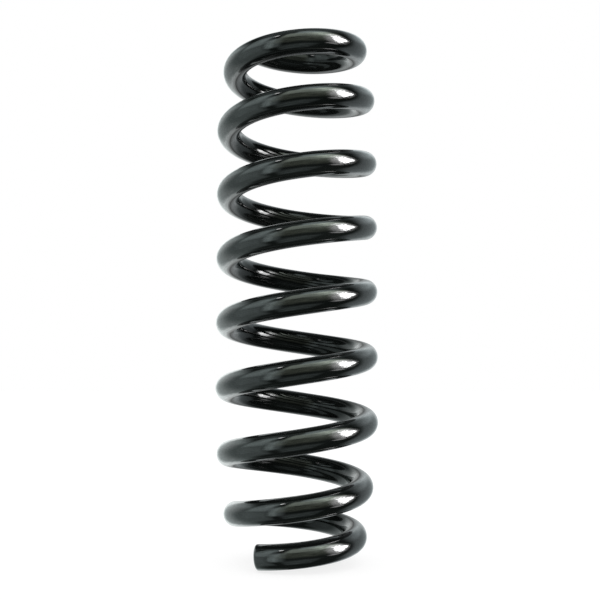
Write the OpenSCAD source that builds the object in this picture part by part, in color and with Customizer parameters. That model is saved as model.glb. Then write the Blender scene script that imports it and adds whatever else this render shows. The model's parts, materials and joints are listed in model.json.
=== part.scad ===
// Automotive suspension coil spring: one bar of round wire wound right-hand,
// with open, unground ends, and end coils drawn in to a smaller diameter.
// Millimetres. The coil axis is Z and the lowest point of the wire is at Z = 0.
// Angles run counter-clockwise seen from above, from +X; the front is 270.
// The bar is divided into quarter turns, one node each, so that the coils
// can close up on each other as the spring is compressed.

/* [Wire] */
// Diameter of the wire
wire_d = 16; // [12:0.5:18]
// Width of the bevel around each cut end
end_bevel = 1.8; // [0.4:0.1:2]
// Angle of each cut away from square, shortening the outer side of the wire
end_skew = 34; // [0:1:35]
// Length by which the lower end runs ahead of its first quarter turn
lower_tail = 3.5; // [2.5:0.5:6]
// Clearance between neighbouring wire sections
section_gap = 0.06; // [0.04:0.01:0.2]

/* [Coil] */
// Outside diameter of the full coils
coil_od = 106.8; // [100:0.2:120]
// Outside diameter of the bottom end coil
bottom_od = 90.6; // [86:0.2:98]
// Outside diameter of the top end coil
top_od = 93; // [86:0.2:98]
// Turns over which the bottom end widens to the full diameter
bottom_taper_turns = 2.4; // [1:0.1:3]
// Turns over which the top end widens to the full diameter
top_taper_turns = 1.9; // [1:0.1:3]

/* [Pitch] */
// Pitch of the full coils
mid_pitch = 42.8; // [34:0.2:46]
// Pitch at the bottom end
bottom_pitch = 23.6; // [22:0.2:34]
// Turns over which the pitch opens out at the bottom
bottom_pitch_turns = 1.9; // [1:0.1:3]
// Pitch at the top end
top_pitch = 22; // [22:0.2:34]
// Turns over which the pitch opens out at the top
top_pitch_turns = 1.6; // [1:0.1:3]

/* [Hidden] */

sections = 35;
turns = sections / 4;
start_angle = 232.5;
ring_steps = 12;
sides = 16;

// Turns over which the rings of the wire come round into the plane of a cut.
end_blend = 0.1;

wire_r = wire_d / 2;
mid_r = (coil_od - wire_d) / 2;
bottom_r = (bottom_od - wire_d) / 2;
top_r = (top_od - wire_d) / 2;

quarter_names = ["front", "right", "back", "left"];

function section_name(q) =
  str("coil_", floor(q / 4) + 1, "_", quarter_names[q % 4]);

// A smooth step from 0 to 1, and the area under it up to x.
function clamp01(x) = max(0, min(1, x));
function ease(x) = let (c = clamp01(x)) c * c * (3 - 2 * c);
function ease_area(x) =
  let (c = clamp01(x)) c * c * c - c * c * c * c / 2 + max(0, x - 1);

// Centre radius of the wire, t turns from the bottom end.
function coil_r(t) =
  mid_r
  - (mid_r - bottom_r) * (1 - ease(t / bottom_taper_turns))
  - (mid_r - top_r) * (1 - ease((turns - t) / top_taper_turns));

// Local pitch at t turns.
function pitch(t) =
  mid_pitch
  - (mid_pitch - bottom_pitch) * (1 - ease(t / bottom_pitch_turns))
  - (mid_pitch - top_pitch) * (1 - ease((turns - t) / top_pitch_turns));

// Rise that an end's closer pitch takes away within x turns of that end.
function end_loss(x, lost, over) = lost * (x - over * ease_area(x / over));

// Height gained by the wire's centre line from the bottom end to t turns.
function rise(t) =
  mid_pitch * t
  - end_loss(t, mid_pitch - bottom_pitch, bottom_pitch_turns)
  - end_loss(turns, mid_pitch - top_pitch, top_pitch_turns)
  + end_loss(turns - t, mid_pitch - top_pitch, top_pitch_turns);

// Angle of the wire's climb at t turns.
function lead(t) = atan(pitch(t) / (2 * PI * coil_r(t)));

// Part of a turn that a length along the wire takes up at t turns.
function part_turn(length, t) = length / (2 * PI * coil_r(t));

low_end = -part_turn(lower_tail, 0);
low_bevel_end = low_end + part_turn(end_bevel, 0);
top_bevel_end = turns - part_turn(end_bevel, turns);
half_gap_turn = part_turn(section_gap / 2, turns / 2);

// Height of the wire's centre at the start, with its lowest point at 0.
base_z = wire_r * cos(lead(0)) - rise(low_bevel_end);

// How far a ring at t turns has come round into the plane of the lower or the
// upper cut: 1 at the cut and 0 from end_blend turns away.
function lower_cut(t) = ease(1 - (t - low_end) / end_blend);
function upper_cut(t) = ease(1 - (turns - t) / end_blend);

// One ring around the wire at t turns. Away from the ends it lies upright, in
// the plane through the coil axis.
function ring(t, rad) =
  let (
    a = start_angle + 360 * t,
    l = lead(t),
    squared = lower_cut(t) + upper_cut(t),
    skewed = (lower_cut(t) - upper_cut(t)) * tan(end_skew)
  )
  [for (i = [0 : sides - 1])
    let (
      s = 360 * i / sides,
      r = coil_r(t) + rad * cos(s),
      along = skewed * rad * cos(s) - squared * rad * sin(s) * tan(l),
      z = base_z + rise(t) + rad * sin(s) / cos(l) + along * sin(l)
    )
    [
      r * cos(a) - along * cos(l) * sin(a),
      r * sin(a) + along * cos(l) * cos(a),
      z
    ]];

// The rings of section q, each as [turns, radius].
function section_rings(q) =
  let (
    first = q == 0,
    last = q == sections - 1,
    t0 = first ? low_bevel_end : q / 4 + half_gap_turn,
    t1 = last ? top_bevel_end : (q + 1) / 4 - half_gap_turn
  )
  concat(
    first ? [[low_end, wire_r - end_bevel]] : [],
    [[t0, wire_r]],
    [for (i = [first ? 0 : 1 : ring_steps - 1])
      [(q + i / ring_steps) / 4, wire_r]],
    [[t1, wire_r]],
    last ? [[turns, wire_r - end_bevel]] : []
  );

module wire_section(q) {
  rings = section_rings(q);
  count = len(rings);
  points = [for (k = rings) each ring(k[0], k[1])];
  walls = [
    for (j = [0 : count - 2]) for (i = [0 : sides - 1])
      let (
        i2 = (i + 1) % sides,
        low = j * sides,
        high = low + sides
      )
      each [
        [low + i, low + i2, high + i2],
        [low + i, high + i2, high + i]
      ]
  ];
  start_face = [for (i = [0 : sides - 1]) sides - 1 - i];
  end_face = [for (i = [0 : sides - 1]) (count - 1) * sides + i];
  color([0.07, 0.08, 0.08])
    polyhedron(points, concat(walls, [start_face, end_face]), convexity = 2);
}

for (q = [0 : sections - 1])
  wire_section(q);
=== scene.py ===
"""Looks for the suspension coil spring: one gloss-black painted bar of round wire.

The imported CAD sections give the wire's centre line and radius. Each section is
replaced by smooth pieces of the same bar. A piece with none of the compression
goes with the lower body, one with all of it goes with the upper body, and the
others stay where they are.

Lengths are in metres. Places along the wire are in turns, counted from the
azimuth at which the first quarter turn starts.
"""
import json
import math

import bpy
import numpy as np
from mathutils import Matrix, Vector


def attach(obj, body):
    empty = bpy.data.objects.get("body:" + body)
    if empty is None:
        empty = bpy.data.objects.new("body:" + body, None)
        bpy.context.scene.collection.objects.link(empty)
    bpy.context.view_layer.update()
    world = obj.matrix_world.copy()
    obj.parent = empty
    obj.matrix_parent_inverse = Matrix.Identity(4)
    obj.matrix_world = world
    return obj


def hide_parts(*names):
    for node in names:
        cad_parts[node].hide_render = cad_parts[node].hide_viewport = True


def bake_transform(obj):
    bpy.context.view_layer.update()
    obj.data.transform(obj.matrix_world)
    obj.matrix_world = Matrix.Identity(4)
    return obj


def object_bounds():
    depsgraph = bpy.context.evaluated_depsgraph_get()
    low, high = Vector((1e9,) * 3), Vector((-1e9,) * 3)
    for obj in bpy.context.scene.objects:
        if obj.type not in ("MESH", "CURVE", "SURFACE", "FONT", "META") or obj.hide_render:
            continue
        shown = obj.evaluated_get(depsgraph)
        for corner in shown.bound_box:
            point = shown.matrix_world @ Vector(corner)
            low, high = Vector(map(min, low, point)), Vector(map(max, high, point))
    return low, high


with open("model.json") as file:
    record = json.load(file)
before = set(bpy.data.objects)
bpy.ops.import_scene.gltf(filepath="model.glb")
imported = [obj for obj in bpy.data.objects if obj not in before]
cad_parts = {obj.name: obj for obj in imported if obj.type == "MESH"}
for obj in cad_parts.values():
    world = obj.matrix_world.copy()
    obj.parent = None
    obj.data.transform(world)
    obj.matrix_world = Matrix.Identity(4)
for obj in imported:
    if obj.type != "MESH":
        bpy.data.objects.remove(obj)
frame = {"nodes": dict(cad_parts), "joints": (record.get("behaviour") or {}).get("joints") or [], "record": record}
cad_low, cad_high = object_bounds()

# ---------------------------------------------------------------- the frame

RECORD = frame["record"]
QUARTERS = ("front", "right", "back", "left")
SECTIONS = [f"coil_{q // 4 + 1}_{QUARTERS[q % 4]}" for q in range(len(frame["nodes"]))]
BODY_OF = {node: body for body, nodes in RECORD["behaviour"]["bodies"].items() for node in nodes}
FOLLOWS = {c["joint"]: c["ratio"] for c in RECORD["behaviour"]["couplings"]}
MOUNT_AT = {m["name"]: m["pos_m"] for m in RECORD["mounts"]}
LOWER_BODY, UPPER_BODY = BODY_OF[SECTIONS[0]], BODY_OF[SECTIONS[-1]]

START_ANGLE = math.radians(232.5)  # azimuth from which the turns are counted
CAD_STEPS = 12                     # rings of each CAD section, less one
GRID = CAD_STEPS * 4               # CAD rings in a whole turn
END_BLEND = 0.1                    # turns over which the rings come round into a cut's plane
END_SKEW = math.radians(34)        # angle of each cut away from square
SAME_POINT = 7                     # decimals to which the corners of neighbouring facets agree


def lower_cut_turns():
    """Where the lower cut end lies, a little ahead of the first quarter turn."""
    x, y, _ = MOUNT_AT["lower_wire_end"]
    return (math.atan2(y, x) % (2 * math.pi) - START_ANGLE) / (2 * math.pi)


LOW_END = lower_cut_turns()
HIGH_END = len(SECTIONS) / 4


def end_point(mount):
    """Centre radius and height of the wire at a cut end."""
    x, y, z = MOUNT_AT[mount]
    return math.hypot(x, y), z


def read_wire():
    """The wire's centre radius and height on an even grid of turns, and its radius.

    They come from the CAD sections' upright rings, and at the cut ends from the mounts.
    """
    count = len(SECTIONS) * CAD_STEPS + 1
    turns = np.arange(count) / GRID
    sums, hits = np.zeros((count, 2)), np.zeros(count)
    wire_radii = []
    for q, name in enumerate(SECTIONS):
        points = np.array([v.co for v in frame["nodes"][name].data.vertices], float)
        points = np.unique(points.round(SAME_POINT), axis=0)
        around = np.arctan2(points[:, 1], points[:, 0]) - START_ANGLE - q * math.pi / 2
        around = (around + math.pi) % (2 * math.pi) - math.pi
        steps = np.rint(around / (2 * math.pi) * GRID).astype(int)
        for step in range(CAD_STEPS + 1):
            k = q * CAD_STEPS + step
            if not LOW_END + END_BLEND < turns[k] < HIGH_END - END_BLEND:
                continue
            ring = points[steps == step]
            radial, heights = np.hypot(ring[:, 0], ring[:, 1]), ring[:, 2]
            sums[k] += (radial.max() + radial.min()) / 2, (heights.max() + heights.min()) / 2
            hits[k] += 1
            wire_radii.append((radial.max() - radial.min()) / 2)
    upright = hits > 0
    known_turns = [LOW_END, *turns[upright], HIGH_END]
    known = np.vstack([
        end_point("lower_wire_end"),
        sums[upright] / hits[upright, None],
        end_point("upper_wire_end"),
    ])
    line = np.stack([np.interp(turns, known_turns, column) for column in known.T], -1)
    return line, float(np.median(wire_radii))


LINE, WIRE_R = read_wire()


def centre_line(t):
    """Centre radius and height at t turns: a smooth cubic through the CAD rings."""
    x = np.clip(np.asarray(t, float) * GRID, LOW_END * GRID, len(LINE) - 1)
    k = np.clip(x.astype(int), 0, len(LINE) - 2)
    u = (x - k)[..., None]
    padded = np.vstack([2 * LINE[0] - LINE[1], LINE, 2 * LINE[-1] - LINE[-2]])
    p0, p1, p2, p3 = (padded[k + i] for i in range(4))
    bend = 2 * p0 - 5 * p1 + 4 * p2 - p3
    twist = 3 * (p1 - p2) + p3 - p0
    return p1 + 0.5 * u * (p2 - p0 + u * (bend + u * twist))


def unit(v):
    """Vectors scaled to length 1."""
    return v / np.linalg.norm(v, axis=-1, keepdims=True)


def between_ends(t, step):
    """The places one step before and after t, kept on the wire."""
    return np.clip(t - step, LOW_END, HIGH_END), np.clip(t + step, LOW_END, HIGH_END)


CLIMB_STEP = 1e-3  # turns over which the climb is measured


def wire_frame(t):
    """Centre, outward, along-the-wire and climb angle at t turns."""
    azimuth = START_ANGLE + 2 * math.pi * np.asarray(t, float)
    level = np.zeros_like(azimuth)
    out = np.stack([np.cos(azimuth), np.sin(azimuth), level], -1)
    side = np.stack([-np.sin(azimuth), np.cos(azimuth), level], -1)
    radius, height = np.moveaxis(centre_line(t), -1, 0)
    centre = out * radius[..., None]
    centre[..., 2] = height
    t_low, t_high = between_ends(t, CLIMB_STEP)
    climb = (centre_line(t_high)[..., 1] - centre_line(t_low)[..., 1]) / (t_high - t_low)
    lead = np.arctan2(climb, 2 * math.pi * radius)
    along = side * np.cos(lead)[..., None]
    along[..., 2] = np.sin(lead)
    return centre, out, along, lead


# ------------------------------------------------------------- the movement

def closing_shares():
    """The share of the compression that each section's CAD body makes, 0 at the bottom to 1 at the top."""
    of_body = {j["child"]: FOLLOWS.get(j["name"], 1.0) for j in frame["joints"]}
    of_body[LOWER_BODY] = 0.0
    return [of_body[BODY_OF[name]] for name in SECTIONS]


SHARES = closing_shares()
SEAM_SHARES = [0.0] + [(a + b) / 2 for a, b in zip(SHARES, SHARES[1:])] + [1.0]


def share_at(t):
    """The share of the compression that the wire makes at t turns, even from seam to seam."""
    return float(np.interp(t * 4, range(len(SEAM_SHARES)), SEAM_SHARES))


# ------------------------------------------------------------ the wire mesh

PARTS = 3             # pieces of each section
SIDES = 56            # points around the wire
STEPS = 9             # rings of a piece, less one
END_ROUND = 0.0019    # radius of the edge around a cut end
END_RINGS = 6         # rings in that edge, less one
EDGE_CLEAR = 1.5      # rings of the wall keep this many edge radii away from the cut
NORMAL_STEP = 1e-4    # step, in turns or in radians around the wire, for measuring slopes
WAVE = 0.00006        # depth of the rolled bar's slow waviness
WAVE_LENGTHS = (0.0437, 0.0271, 0.0853)  # lengths of its three waves along the bar


def bar_length(t):
    """Length along the wire from the lower cut end, close enough to place the paint's texture."""
    return 2 * math.pi * (cad_high.x - WIRE_R) * (np.asarray(t, float) - LOW_END)


def smooth_step(x):
    """0 up to x = 0, 1 from x = 1, smooth between."""
    c = np.clip(x, 0, 1)
    return c * c * (3 - 2 * c)


def cut_normal(t, out, along):
    """The outward normal of the cut at the wire's nearer end."""
    facing = np.where(np.asarray(t) < HIGH_END / 2, -1.0, 1.0)[..., None]
    return along * facing * math.cos(END_SKEW) + out * math.sin(END_SKEW)


def waviness(length, s):
    """A slow unevenness of the hot-rolled bar, from 0 to 1, the same on both sides of a seam."""
    across = (2 * np.sin(s), 1.3 + np.cos(s + 0.7), 0.5 + 2 * np.cos(s - 0.4))
    waves = [np.sin(length * 2 * math.pi / wave + a) for wave, a in zip(WAVE_LENGTHS, across)]
    return (sum(waves) + len(waves)) / (2 * len(waves))


def surface(t, s, rad):
    """A point on the bar at t turns and s radians around it.

    As in the CAD, a ring stands upright, and near an end it comes round into the cut's plane.
    """
    centre, out, along, lead = wire_frame(t)
    rad = rad - WAVE * waviness(bar_length(t), s)
    lower_cut = smooth_step(1 - (t - LOW_END) / END_BLEND)
    upper_cut = smooth_step(1 - (HIGH_END - t) / END_BLEND)
    skewed = (lower_cut - upper_cut) * math.tan(END_SKEW) * rad * np.cos(s)
    squared = (lower_cut + upper_cut) * rad * np.sin(s) * np.tan(lead)
    point = centre + out * (rad * np.cos(s))[..., None] + along * (skewed - squared)[..., None]
    point[..., 2] += rad * np.sin(s) / np.cos(lead)
    return point


def wall_normals(t, s):
    """The outward normals of the bar's wall, from the slopes of its surface."""
    t_low, t_high = between_ends(t, NORMAL_STEP)
    rad = np.full_like(t, WIRE_R)
    by_t = surface(t_high, s, rad) - surface(t_low, s, rad)
    by_s = surface(t, s + NORMAL_STEP, rad) - surface(t, s - NORMAL_STEP, rad)
    return unit(np.cross(by_t, by_s))


def piece_rings(t0, t1):
    """The rings from t0 to t1 turns: turns, wire radius, and how far the edge has turned to the cut."""
    rings = [(t0 + (t1 - t0) * i / STEPS, WIRE_R, 0.0) for i in range(STEPS + 1)]
    for end, inward in ((LOW_END, 1), (HIGH_END, -1)):
        if end not in (t0, t1):
            continue
        edge_turns = END_ROUND / (2 * math.pi * float(centre_line(end)[0]))
        edge = [
            (
                end + inward * edge_turns * (1 - math.sin(a)),
                WIRE_R - END_ROUND * (1 - math.cos(a)),
                a,
            )
            for a in (math.pi / 2 * i / END_RINGS for i in range(END_RINGS + 1))
        ]
        wall = [ring for ring in rings if abs(ring[0] - end) > EDGE_CLEAR * edge_turns]
        rings = edge[::-1] + wall if inward > 0 else wall + edge
    return rings


def add_attribute(mesh, name, kind, field, values):
    """Values for the paint to read, one for each point of the mesh."""
    attribute = mesh.attributes.new(name, kind, "POINT")
    attribute.data.foreach_set(field, values.astype(np.float32).ravel())


def piece_mesh(t0, t1, name):
    """The bar from t0 to t1 turns as a closed mesh with its true surface normals."""
    rings = piece_rings(t0, t1)
    t, rad, edge = (np.array(column)[:, None] for column in zip(*rings))
    s = (np.arange(SIDES) * 2 * math.pi / SIDES)[None, :]
    t, rad, edge, s = np.broadcast_arrays(t, rad, edge, s)
    points = surface(t, s, rad).reshape(-1, 3)
    _, out, along, _ = wire_frame(t)
    cut = cut_normal(t, out, along)
    normals = unit(wall_normals(t, s) * np.cos(edge)[..., None] + cut * np.sin(edge)[..., None])
    normals = normals.reshape(-1, 3)

    faces, corner_normals = [], []
    for j in range(len(rings) - 1):
        low, high = j * SIDES, (j + 1) * SIDES
        for i in range(SIDES):
            i2 = (i + 1) % SIDES
            face = (low + i, high + i, high + i2, low + i2)
            faces.append(face)
            corner_normals += [normals[v] for v in face]
    for ring, order in ((0, 1), (len(rings) - 1, -1)):
        if edge[ring, 0] > 0:
            facing = cut[ring, 0]
        else:
            azimuth = START_ANGLE + 2 * math.pi * t[ring, 0]
            facing = np.array([math.sin(azimuth), -math.cos(azimuth), 0.0]) * order
        faces.append([ring * SIDES + i for i in range(SIDES)][::order])
        corner_normals += [facing] * SIDES

    mesh = bpy.data.meshes.new(name)
    mesh.from_pydata([tuple(p) for p in points], [], faces)
    mesh.update()
    if mesh.validate():
        raise RuntimeError(f"{name} has a bad face")
    for polygon in mesh.polygons:
        polygon.use_smooth = True
    mesh.normals_split_custom_set([tuple(n) for n in corner_normals])

    length = bar_length(t)
    along_bar = np.stack([rad * np.cos(s), rad * np.sin(s), length], -1)
    from_end = np.minimum(length, bar_length(HIGH_END) - length)
    add_attribute(mesh, "bar", "FLOAT_VECTOR", "vector", along_bar)
    add_attribute(mesh, "from_end", "FLOAT", "value", from_end)
    return mesh


def add_piece(q, part, material):
    """One piece of section q, in place of the CAD node, which is hidden. It goes with the lower or upper body when
    its share of the compression is none or all.
    """
    name = f"wire_{SECTIONS[q]}_{'abc'[part]}"
    t0, t1 = (q + part / PARTS) / 4, (q + (part + 1) / PARTS) / 4
    if t0 == 0:
        t0 = LOW_END
    piece = bpy.data.objects.new(name, piece_mesh(t0, t1, name))
    bpy.context.scene.collection.objects.link(piece)
    piece.data.materials.append(material)
    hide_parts(SECTIONS[q])
    low_share, high_share = share_at(t0), share_at(t1)
    if high_share <= 0:
        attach(piece, LOWER_BODY)
    elif low_share >= 1:
        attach(piece, UPPER_BODY)
    else:
        first, last = (Vector(wire_frame(np.array(t))[0]) for t in (t0, t1))
        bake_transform(piece)


# ---------------------------------------------------------------- materials

class Nodes:
    """Small helper that adds shader nodes to a tree and links them."""

    def __init__(self, tree):
        self.tree = tree

    def add(self, kind, **inputs):
        """A node with some inputs set or linked; an underscore in a name stands for a space."""
        node = self.tree.nodes.new(kind)
        for key, value in inputs.items():
            self.put(node, key.replace("_", " "), value)
        return node

    def put(self, node, key, value):
        """Links a socket to an input of the node, or sets the input to a plain value."""
        if isinstance(value, bpy.types.NodeSocket):
            self.tree.links.new(value, node.inputs[key])
        else:
            node.inputs[key].default_value = value

    def operate(self, kind, operation, *values):
        """A math or vector math node's result."""
        node = self.tree.nodes.new(kind)
        node.operation = operation
        for i, value in enumerate(values):
            self.put(node, i, value)
        return node.outputs[0]

    def math(self, operation, *values):
        return self.operate("ShaderNodeMath", operation, *values)

    def scaled(self, vector, factor):
        """A vector times a number."""
        node = self.tree.nodes.new("ShaderNodeVectorMath")
        node.operation = "SCALE"
        self.put(node, 0, vector)
        self.put(node, "Scale", factor)
        return node.outputs[0]

    def plus(self, a, b):
        """The sum of two vectors."""
        return self.operate("ShaderNodeVectorMath", "ADD", a, b)

    def ramp(self, value, low, high):
        """0 below low, 1 above high, smooth between."""
        node = self.tree.nodes.new("ShaderNodeMapRange")
        node.interpolation_type = "SMOOTHSTEP"
        node.clamp = True
        self.put(node, 0, value)
        self.put(node, 1, low)
        self.put(node, 2, high)
        return node.outputs[0]

    def noise(self, place, scales, detail):
        """Soft noise with a scale of its own along each axis."""
        mapping = self.add("ShaderNodeMapping", Vector=place, Scale=scales)
        texture = self.add("ShaderNodeTexNoise", Vector=mapping.outputs[0], Scale=1.0, Detail=detail)
        return texture.outputs[0]

    def blended(self, factor, first, second):
        """A colour between two others."""
        mix = self.tree.nodes.new("ShaderNodeMix")
        mix.data_type = "RGBA"
        self.put(mix, 0, factor)
        self.put(mix, 6, (*first, 1))
        self.put(mix, 7, (*second, 1))
        return mix.outputs[2]


def new_material(name):
    """A material, the helper for its nodes and its Principled shader."""
    material = bpy.data.materials.new(name)
    material.use_nodes = True
    shader = next(node for node in material.node_tree.nodes if node.type == "BSDF_PRINCIPLED")
    return material, Nodes(material.node_tree), shader


def black_paint():
    """Thick gloss-black enamel on a rolled bar.

    It has orange peel, slow sags, a faint slate tint, a duller skin at the cut
    ends, and weaker gloss on the inner side of the coil, which is painted shade.
    """
    material, nodes, shader = new_material("gloss_black_paint")
    place = nodes.add("ShaderNodeAttribute")
    place.attribute_name = "bar"
    from_end = nodes.add("ShaderNodeAttribute")
    from_end.attribute_name = "from_end"

    def noise(size_mm, stretch, detail):
        """Noise of a size across the bar, stretched along it."""
        scale = 1000 / size_mm
        return nodes.noise(place.outputs["Vector"], (scale, scale, scale / stretch), detail)

    black, slate = (0.0022, 0.0028, 0.0026), (0.0060, 0.0074, 0.0068)
    colour = nodes.blended(nodes.ramp(noise(22, 2.5, 3.0), 0.35, 0.68), black, slate)

    skin = nodes.math("SUBTRACT", 1.0, nodes.ramp(from_end.outputs["Fac"], 0.0004, 0.004))
    roughness = nodes.math("MULTIPLY_ADD", nodes.ramp(noise(6, 2.0, 4.0), 0.3, 0.8), 0.07, 0.07)
    roughness = nodes.math("MULTIPLY_ADD", skin, 0.12, roughness)

    # the unevenness, in millimetres
    peel = nodes.math("MULTIPLY", noise(3.2, 1.4, 1.0), 0.034)
    sag = nodes.math("MULTIPLY", noise(11, 1.8, 1.0), 0.085)
    drawn = nodes.math("MULTIPLY", noise(1.3, 9.0, 2.0), 0.0050)
    grit = nodes.math("MULTIPLY", noise(0.7, 1.0, 2.0), 0.0040)
    height = nodes.math("ADD", nodes.math("ADD", peel, sag), nodes.math("ADD", drawn, grit))
    bump = nodes.add("ShaderNodeBump", Strength=1.0, Distance=0.001, Height=height)

    # 1 on the outer side of the coil, 0 on the inner side, whose weaker gloss is painted shade
    outward = nodes.add("ShaderNodeSeparateXYZ", Vector=place.outputs["Vector"]).outputs[0]
    unshaded_outer_side = nodes.ramp(outward, -0.0055, 0.0015)

    nodes.put(shader, "Base Color", colour)
    nodes.put(shader, "Roughness", roughness)
    nodes.put(shader, "IOR", 1.52)
    # lower specular and coat weight on the inner side of the coil: painted shade
    nodes.put(shader, "Specular IOR Level", nodes.math("MULTIPLY_ADD", unshaded_outer_side, 0.24, 0.26))
    nodes.put(shader, "Normal", bump.outputs[0])
    nodes.put(shader, "Coat Weight", nodes.math("MULTIPLY_ADD", unshaded_outer_side, 0.75, 0.25))
    nodes.put(shader, "Coat Roughness", 0.03)
    nodes.put(shader, "Coat IOR", 1.5)
    nodes.put(shader, "Coat Normal", bump.outputs[0])
    return material


def pale_floor():
    """A plain, matt white floor, lit evenly, with a trace of unevenness."""
    material, nodes, shader = new_material("pale_floor")
    grain = nodes.add("ShaderNodeTexNoise", Scale=40.0)
    colour = nodes.blended(grain.outputs[0], (0.26, 0.26, 0.26), (0.29, 0.29, 0.29))
    nodes.put(shader, "Base Color", colour)
    nodes.put(shader, "Roughness", 0.9)
    nodes.put(shader, "Specular IOR Level", 0.0)
    nodes.put(shader, "Emission Color", (1, 1, 1, 1))
    nodes.put(shader, "Emission Strength", 0.80)
    return material


# ------------------------------------------------------------------- studio

class Room:
    """The surroundings that the gloss reflects, built up from soft patches of light.

    Bearings are in degrees from the front, -Y, positive towards +X. Heights are in
    degrees above the horizon.
    """

    def __init__(self, nodes):
        self.nodes = nodes
        self.direction = nodes.add("ShaderNodeTexCoord").outputs["Generated"]
        x, y, z = nodes.add("ShaderNodeSeparateXYZ", Vector=self.direction).outputs
        towards_front = nodes.math("MULTIPLY", y, -1.0)
        self.bearing = nodes.math("DEGREES", nodes.math("ARCTAN2", x, towards_front))
        self.height = nodes.math("DEGREES", nodes.math("ARCSINE", z))
        self.ragged = nodes.math("MULTIPLY_ADD", self.noise(9.0, 1.6, 3.0), 26.0, -13.0)
        self.leaves = nodes.math("SUBTRACT", self.noise(15.0, 1.0, 5.0), 0.5)

    def noise(self, scale, squash, detail):
        """Noise over the directions, squashed in height."""
        return self.nodes.noise(self.direction, (scale, scale, scale * squash), detail)

    def band(self, value, low, high, soft):
        """1 between low and high, with soft edges."""
        begun = self.nodes.ramp(value, low - soft, low + soft)
        ended = self.nodes.ramp(value, high - soft, high + soft)
        return self.nodes.math("MULTIPLY", begun, self.nodes.math("SUBTRACT", 1.0, ended))

    def light(self, colour, mask, strength):
        """A colour where the mask is, at a strength."""
        return self.nodes.scaled(colour, self.nodes.math("MULTIPLY", mask, strength))

    def patch(self, bearings, heights, colour, strength, soft=(8, 6), edge=0.0, streaks=0.0):
        """An upright patch, with edges made ragged by edge and broken up by streaks."""
        bearing, height = self.bearing, self.height
        if edge:
            bearing = self.nodes.math("MULTIPLY_ADD", self.ragged, edge, bearing)
            height = self.nodes.math("MULTIPLY_ADD", self.ragged, edge, height)
        across = self.band(bearing, *bearings, soft[0])
        mask = self.nodes.math("MULTIPLY", across, self.band(height, *heights, soft[1]))
        if streaks:
            streaky = self.noise(3.0, 9.0, 4.0)
            lines = self.nodes.ramp(streaky, 0.5 - streaks / 2, 0.5 + streaks / 2)
            mask = self.nodes.math("MULTIPLY", mask, lines)
        return self.light(colour, mask, strength)

    def glint(self, centre, size, colour, strength, lean=0.0, ragged_edge=0.5, soft=0.12):
        """A bright oval with a leafy outline. lean is its slant, in bearing for each degree of height."""
        nodes = self.nodes
        up = nodes.math("DIVIDE", nodes.math("SUBTRACT", self.height, centre[1]), size[1])
        across = nodes.math("SUBTRACT", self.bearing, centre[0])
        across = nodes.math("MULTIPLY_ADD", up, lean * size[1], across)
        across = nodes.math("DIVIDE", across, size[0])
        squares = nodes.math("MULTIPLY", across, across), nodes.math("MULTIPLY", up, up)
        outwards = nodes.math("SQRT", nodes.math("ADD", *squares))
        outwards = nodes.math("MULTIPLY_ADD", self.leaves, ragged_edge, outwards)
        mask = nodes.math("SUBTRACT", 1.0, nodes.ramp(outwards, 1 - soft, 1 + soft))
        return self.light(colour, mask, strength)

    def lit_by(self, lights):
        """All the lights together, mottled, over a dim even level."""
        total = lights[0]
        for light in lights[1:]:
            total = self.nodes.plus(total, light)
        mottle = self.nodes.math("MULTIPLY_ADD", self.noise(22.0, 2.0, 6.0), 1.8, 0.1)
        return self.nodes.plus(self.nodes.scaled(total, mottle), (0.020, 0.025, 0.023))


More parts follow.
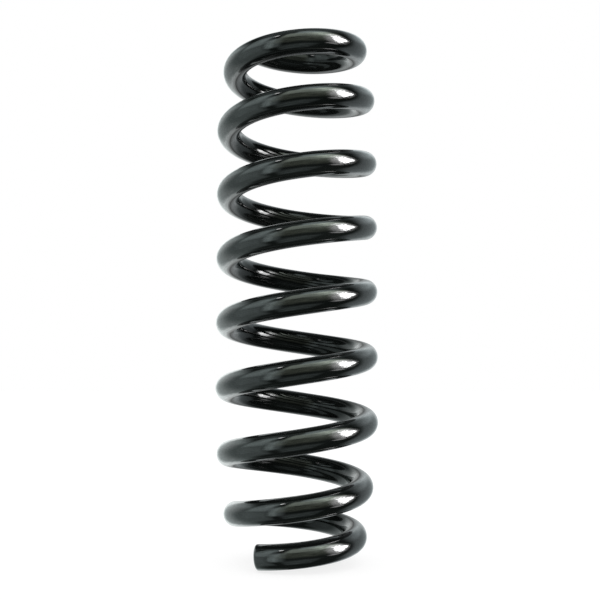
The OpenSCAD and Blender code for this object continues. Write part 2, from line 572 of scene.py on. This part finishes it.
def room_light(room):
    """The room around the spring: grey walls, a dark ceiling and a window among leaves."""
    slate, blue, white = (0.84, 1.0, 0.99), (0.86, 0.97, 1.0), (1.0, 1.0, 1.0)
    beige, olive = (0.88, 1.0, 0.86), (0.90, 1.0, 0.78)
    return room.lit_by([
        # the wall on the left, brighter towards its top and its far side
        room.patch((-174, -46), (-62, 38), slate, 0.40, soft=(9, 10)),
        room.patch((-174, -118), (-48, 24), white, 0.22, soft=(14, 10)),
        room.patch((-174, -104), (8, 36), white, 0.26, soft=(10, 12)),
        room.patch((-92, -52), (-34, 6), slate, 0.30, soft=(8, 12), streaks=0.7),
        room.patch((-136, -98), (28, 44), slate, 0.36, soft=(10, 8)),
        room.patch((-90, -54), (46, 62), slate, 0.55, soft=(7, 6), edge=0.4, streaks=0.8),
        room.patch((-88, -48), (12, 56), slate, 0.62, soft=(7, 9), edge=0.3),
        room.patch((-72, -54), (34, 60), slate, 0.45, soft=(6, 6), edge=0.3),
        room.glint((-50, 59), (5, 3.5), white, 6.0, ragged_edge=0.8, soft=0.3),
        # the bright upright edge beside it
        room.patch((-46, -33), (-32, 34), slate, 1.75, soft=(5, 12), edge=0.5, streaks=0.9),
        room.patch((-38, -22), (-34, 34), slate, 0.50, soft=(7, 10)),
        # the pale wall in front
        room.patch((-28, 52), (36, 66), beige, 1.30, soft=(7, 8), edge=0.3),
        room.patch((40, 76), (36, 62), beige, 2.10, soft=(16, 8), edge=0.3),
        room.patch((22, 62), (18, 40), beige, 0.45, soft=(16, 9), edge=0.3),
        room.patch((22, 66), (52, 64), beige, 0.90, soft=(10, 6), edge=0.3),
        room.patch((-34, 52), (-6, 36), olive, 0.56, soft=(8, 12), streaks=0.5),
        room.patch((-24, 44), (-68, -30), slate, 0.46, soft=(8, 8), streaks=0.6),
        # the wall on the right
        room.patch((103, 174), (-44, 40), blue, 0.38, soft=(9, 10)),
        room.patch((116, 174), (22, 52), blue, 0.32, soft=(12, 8)),
        # the ceiling
        room.patch((-190, 190), (58, 95), slate, 0.12, soft=(1, 8)),
        room.patch((-6, 84), (62, 84), slate, 1.10, soft=(14, 8), edge=0.3),
        # the pale ground behind, at the rims
        room.patch((-179, -156), (-48, 30), white, 0.42, soft=(8, 10)),
        room.patch((156, 179), (-40, 34), white, 0.25, soft=(8, 10)),
        # the window among leaves, its glow and a slit below it
        room.glint((71, 13), (10, 20), white, 14.0, lean=0.2, ragged_edge=2.8, soft=0.16),
        room.glint((84, 11), (6, 8), white, 12.0, ragged_edge=1.2, soft=0.14),
        room.glint((68, 38), (13, 12), white, 2.6, lean=0.3, ragged_edge=1.2, soft=0.40),
        room.glint((69, 14), (20, 29), white, 2.4, lean=0.1, ragged_edge=0.8, soft=0.40),
        room.glint((66, -22), (11, 4), white, 1.6, lean=0.3, ragged_edge=0.6, soft=0.35),
    ])


def studio_world():
    """White surroundings for the camera and the floor, and the room for the gloss to reflect."""
    world = bpy.data.worlds.new("studio")
    bpy.context.scene.world = world
    world.use_nodes = True
    world.node_tree.nodes.clear()
    nodes = Nodes(world.node_tree)
    seen = nodes.add("ShaderNodeBackground", Color=(1, 1, 1, 1), Strength=1.0)
    reflected = nodes.add("ShaderNodeBackground", Color=room_light(Room(nodes)), Strength=1.0)
    mix = nodes.add("ShaderNodeMixShader")
    nodes.put(mix, 0, nodes.add("ShaderNodeLightPath").outputs["Is Glossy Ray"])
    nodes.put(mix, 1, seen.outputs[0])
    nodes.put(mix, 2, reflected.outputs[0])
    nodes.add("ShaderNodeOutputWorld", Surface=mix.outputs[0])


FLOOR_HALF = 6.0      # half the floor's width
FLOOR_DROP = 0.0002   # gap between the floor and the lowest point of the wire


def add_floor():
    """A wide floor under the spring. Reflections leave it out."""
    mesh = bpy.data.meshes.new("floor")
    corners = [(x * FLOOR_HALF, y * FLOOR_HALF, 0) for x, y in ((-1, -1), (1, -1), (1, 1), (-1, 1))]
    mesh.from_pydata(corners, [], [(0, 1, 2, 3)])
    mesh.materials.append(pale_floor())
    floor = bpy.data.objects.new("floor", mesh)
    bpy.context.scene.collection.objects.link(floor)
    floor.location.z = cad_low.z - FLOOR_DROP
    floor.visible_glossy = False


CAMERA_DISTANCE = 0.649   # in front of the coil axis
CAMERA_HEIGHT = 0.1221    # a third of the way up the spring
CAMERA_TILT = 94.28       # degrees from straight down, so a little above level
CAMERA_TURN = -0.196      # degrees about the vertical, so a little to the right
CAMERA_LENS = 58.85       # millimetres on the sensor below
CAMERA_SENSOR = 36


def add_camera():
    """A view from the front, tilted up a little."""
    camera = bpy.data.objects.new("camera", bpy.data.cameras.new("camera"))
    bpy.context.scene.collection.objects.link(camera)
    camera.location = (0, -CAMERA_DISTANCE, CAMERA_HEIGHT)
    camera.rotation_euler = (math.radians(CAMERA_TILT), 0, math.radians(CAMERA_TURN))
    camera.data.lens = CAMERA_LENS
    camera.data.sensor_width = CAMERA_SENSOR
    bpy.context.scene.camera = camera


paint = black_paint()
for index in range(len(SECTIONS)):
    for part in range(PARTS):
        add_piece(index, part, paint)
add_floor()
studio_world()
add_camera()
bpy.context.scene.view_settings.view_transform = "Standard"
